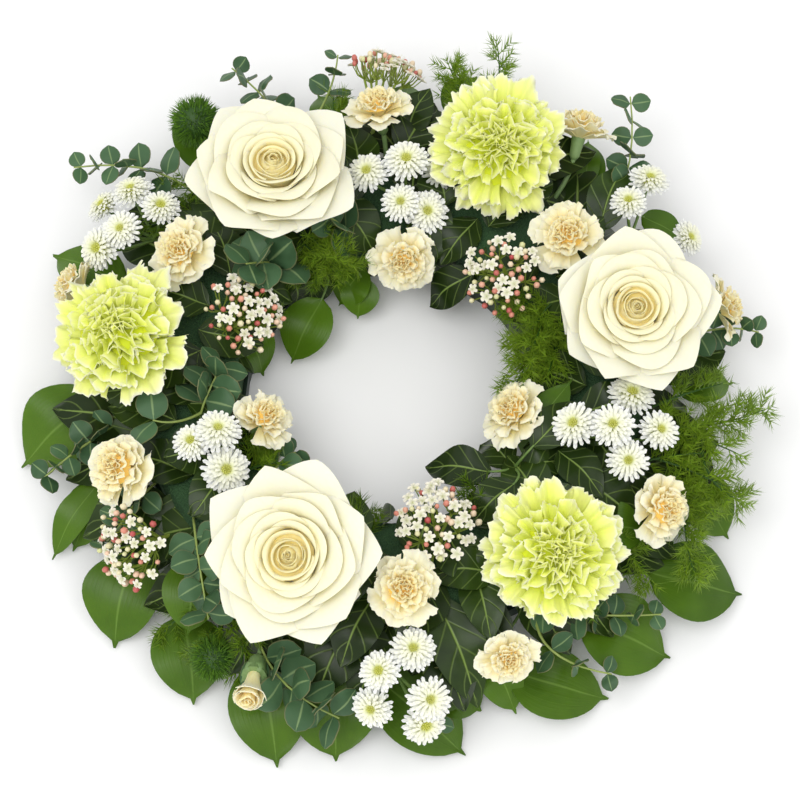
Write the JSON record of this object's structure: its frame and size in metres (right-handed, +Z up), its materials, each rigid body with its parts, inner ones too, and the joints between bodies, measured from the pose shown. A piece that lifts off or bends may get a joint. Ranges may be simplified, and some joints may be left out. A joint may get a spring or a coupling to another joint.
{
  "type": "funeral wreath",
  "caption": "Round flower wreath lying flat: cut roses, carnations, daisies and mixed foliage in a wet foam ring on a shallow tray, with an open centre.",
  "frame": {"origin": "centre of the ring on the surface that the tray rests on", "axes": "+Z up through the ring's hole, +X to the right and +Y away from a viewer who stands at -Y"},
  "size_m": [0.45, 0.4503, 0.1137],
  "materials": {
    "tray_plastic": "moulded polypropylene, satin",
    "wet_foam": "water-soaked phenolic foam, dull and crumbly",
    "rose_petal": "soft petal, velvety satin",
    "green_carnation_petal": "ruffled petal, matte",
    "cream_carnation_petal": "ruffled petal, matte",
    "santini_petal": "small ray petals, matte",
    "viburnum_floret": "small waxy florets and buds",
    "eucalyptus_leaf": "waxy bloomed leaf, satin",
    "fern_needle": "fine soft needles, matte",
    "green_trick_moss": "fuzzy bristled head, matte",
    "broad_leaf": "glossy leathery leaf",
    "dark_leaf": "leathery veined leaf, satin"
  },
  "bodies": {
    "root": {"tray": "tray_plastic", "foam_ring": "wet_foam", "rose_1": "rose_petal", "rose_2": "rose_petal", "rose_3": "rose_petal", "green_carnation_1": "green_carnation_petal", "green_carnation_2": "green_carnation_petal", "green_carnation_3": "green_carnation_petal", "spray_carnation_1": "cream_carnation_petal", "spray_carnation_2": "cream_carnation_petal", "spray_carnation_3": "cream_carnation_petal", "spray_carnation_4": "cream_carnation_petal", "spray_carnation_5": "cream_carnation_petal", "spray_carnation_6": "cream_carnation_petal", "spray_carnation_7": "cream_carnation_petal", "spray_carnation_8": "cream_carnation_petal", "spray_carnation_9": "cream_carnation_petal", "spray_carnation_10": "cream_carnation_petal", "spray_carnation_11": "cream_carnation_petal", "spray_carnation_12": "cream_carnation_petal", "spray_carnation_13": "cream_carnation_petal", "spray_carnation_bud": "cream_carnation_petal", "santini_spray_1": "santini_petal", "santini_spray_2": "santini_petal", "santini_spray_3": "santini_petal", "santini_spray_4": "santini_petal", "santini_spray_5": "santini_petal", "santini_spray_6": "santini_petal", "viburnum_twig_1": "viburnum_floret", "viburnum_twig_2": "viburnum_floret", "viburnum_twig_3": "viburnum_floret", "viburnum_twig_4": "viburnum_floret", "viburnum_twig_5": "viburnum_floret", "eucalyptus_sprig_1": "eucalyptus_leaf", "eucalyptus_sprig_2": "eucalyptus_leaf", "eucalyptus_sprig_3": "eucalyptus_leaf", "eucalyptus_sprig_4": "eucalyptus_leaf", "eucalyptus_sprig_5": "eucalyptus_leaf", "eucalyptus_sprig_6": "eucalyptus_leaf", "eucalyptus_sprig_7": "eucalyptus_leaf", "eucalyptus_sprig_8": "eucalyptus_leaf", "eucalyptus_sprig_9": "eucalyptus_leaf", "fern_sprig_1": "fern_needle", "fern_sprig_2": "fern_needle", "fern_sprig_3": "fern_needle", "fern_sprig_4": "fern_needle", "green_trick_1": "green_trick_moss", "green_trick_2": "green_trick_moss", "leaf_twig_1": "broad_leaf", "leaf_twig_2": "broad_leaf", "leaf_twig_3": "broad_leaf", "leaf_twig_4": "broad_leaf", "leaf_twig_5": "broad_leaf", "leaf_twig_6": "broad_leaf", "leaf_twig_7": "broad_leaf", "leaf_twig_8": "broad_leaf", "leaf_twig_9": "broad_leaf", "leaf_twig_10": "broad_leaf", "inner_leaf_twig": "broad_leaf", "dark_leaf_twig": "dark_leaf"}
  },
  "joints": []
}
